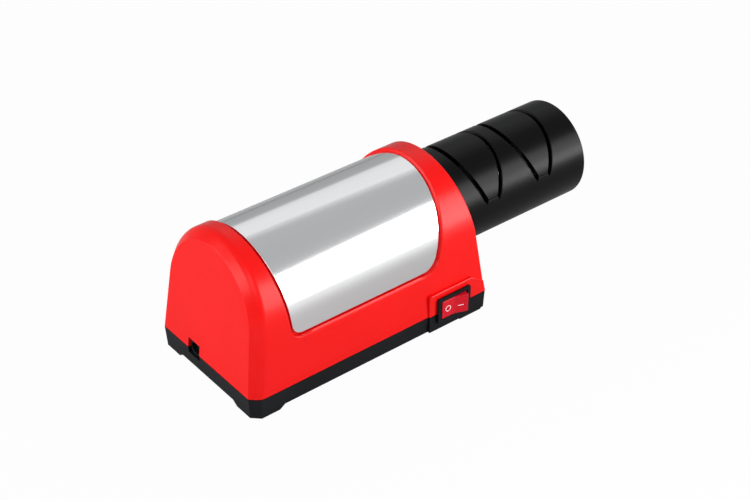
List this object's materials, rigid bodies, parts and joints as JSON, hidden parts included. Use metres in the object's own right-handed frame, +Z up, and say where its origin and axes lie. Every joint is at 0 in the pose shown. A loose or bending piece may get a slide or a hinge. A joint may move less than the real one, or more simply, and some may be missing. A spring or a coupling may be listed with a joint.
{
  "type": "electric knife sharpener",
  "caption": "Bench knife sharpener: arched red body with a polished cover on a black base, a rocker switch, and a round black slotted head over sprung grinding discs.",
  "frame": {"origin": "middle of the bounding box, at the level of the rubber feet", "axes": "+X along the drive axis towards the slotted head, -Y towards the switch side, +Z up"},
  "size_m": [0.2242, 0.085, 0.0809],
  "materials": {
    "red_shell": "satin moulded",
    "black_plastic": "fine texture",
    "head_plastic": "semi-gloss moulded",
    "polished_steel": "polished",
    "steel": "zinc plated",
    "laminations": "stacked sheet",
    "brass": "turned",
    "bronze": "sintered",
    "copper": "lacquered wire",
    "magnet": "ferrite",
    "carbon": "pressed",
    "rubber": "matt",
    "rocker_red": "clear red",
    "diamond_steel": "diamond grit",
    "ceramic": "fine ceramic grit coat",
    "wire_red": "vinyl",
    "wire_black": "vinyl"
  },
  "bodies": {
    "body": {"housing": "red_shell", "steel_cover": "polished_steel", "base": "black_plastic", "rubber_foot_1": "rubber", "rubber_foot_2": "rubber", "rubber_foot_3": "rubber", "rubber_foot_4": "rubber", "housing_screw_1": "steel", "housing_screw_2": "steel", "housing_screw_3": "steel", "housing_screw_4": "steel", "cradle_screw_1": "steel", "cradle_screw_2": "steel", "inlet_jack": "black_plastic", "inlet_pin": "brass", "supply_wire": "wire_red", "switched_wire": "wire_red", "return_wire": "wire_black", "switch_body": "black_plastic", "switch_terminal_1": "brass", "switch_terminal_2": "brass", "motor_can": "steel", "motor_end_cap": "black_plastic", "motor_magnet_1": "magnet", "motor_magnet_2": "magnet", "motor_brush_1": "carbon", "motor_brush_2": "carbon", "motor_rear_bush": "bronze", "motor_front_bush": "bronze", "motor_cradle": "black_plastic", "motor_strap": "steel", "strap_screw_1": "steel", "strap_screw_2": "steel", "head_collar": "head_plastic", "collar_screw_1": "steel", "collar_screw_2": "steel", "collar_screw_3": "steel", "spindle_bush": "bronze"},
    "drive": {"motor_shaft": "steel", "rotor_core": "laminations", "rotor_winding": "copper", "commutator": "copper", "shaft_coupling": "brass", "coupling_screw": "steel", "spindle": "steel", "inner_spacer": "steel", "middle_spacer": "steel", "end_washer": "steel", "end_nut": "steel", "coarse_spring": "steel", "fine_spring": "steel"},
    "coarse_left": {"coarse_disc_left": "diamond_steel"},
    "coarse_right": {"coarse_disc_right": "diamond_steel"},
    "fine_left": {"fine_disc_left": "ceramic"},
    "fine_right": {"fine_disc_right": "ceramic"},
    "head": {"head_cover": "head_plastic", "coarse_bridge": "head_plastic", "fine_bridge": "head_plastic"},
    "rocker": {"switch_rocker": "rocker_red"}
  },
  "joints": [
    {"name": "switch_rock", "type": "hinge", "parent": "body", "child": "rocker", "pos_m": [0.0095, -0.03694, 0.0142], "axis": [0, 0, 1], "range_deg": [0, 20]},
    {"name": "spindle_spin", "type": "hinge", "parent": "body", "child": "drive", "pos_m": [0, 0.00247, 0.047], "axis": [1, 0, 0], "continuous": true},
    {"name": "coarse_left_float", "type": "slide", "parent": "drive", "child": "coarse_left", "axis": [1, 0, 0], "range_m": [0, 0.0009], "stiffness_N_per_m": 2000, "deforming": ["coarse_spring"]},
    {"name": "coarse_right_float", "type": "slide", "parent": "drive", "child": "coarse_right", "axis": [-1, 0, 0], "range_m": [0, 0.0009], "stiffness_N_per_m": 2000, "deforming": ["coarse_spring"]},
    {"name": "fine_left_float", "type": "slide", "parent": "drive", "child": "fine_left", "axis": [1, 0, 0], "range_m": [0, 0.0009], "stiffness_N_per_m": 2000, "deforming": ["fine_spring"]},
    {"name": "fine_right_float", "type": "slide", "parent": "drive", "child": "fine_right", "axis": [-1, 0, 0], "range_m": [0, 0.0009], "stiffness_N_per_m": 2000, "deforming": ["fine_spring"]},
    {"name": "head_pull", "type": "slide", "parent": "body", "child": "head", "axis": [1, 0, 0], "range_m": [0, 0.075]}
  ]
}
